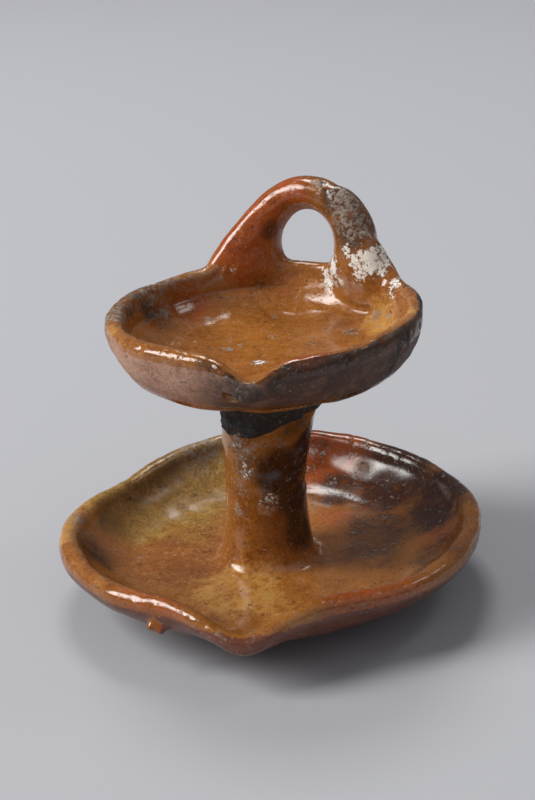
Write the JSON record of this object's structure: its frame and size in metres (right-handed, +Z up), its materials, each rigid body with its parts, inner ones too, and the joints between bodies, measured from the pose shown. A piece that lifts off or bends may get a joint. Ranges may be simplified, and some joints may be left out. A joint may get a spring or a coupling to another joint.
{
  "type": "earthenware oil lamp",
  "caption": "Glazed earthenware oil lamp: a wide drip dish and a smaller oil bowl on a stem, each rim pinched into a spout, with a loop handle on the bowl.",
  "frame": {"origin": "middle of the flat foot, on the axis of the stem, where the lamp stands on a table", "axes": "+Z up along the stem, -Y towards the pinched spouts, so the handle is at the back"},
  "size_m": [0.1548, 0.1616, 0.1415],
  "materials": {
    "glazed_clay": "worn amber-brown lead glaze over red earthenware, with soot, bare clay and pale crust"
  },
  "bodies": {
    "root": {"oil_lamp": "glazed_clay"}
  },
  "joints": []
}
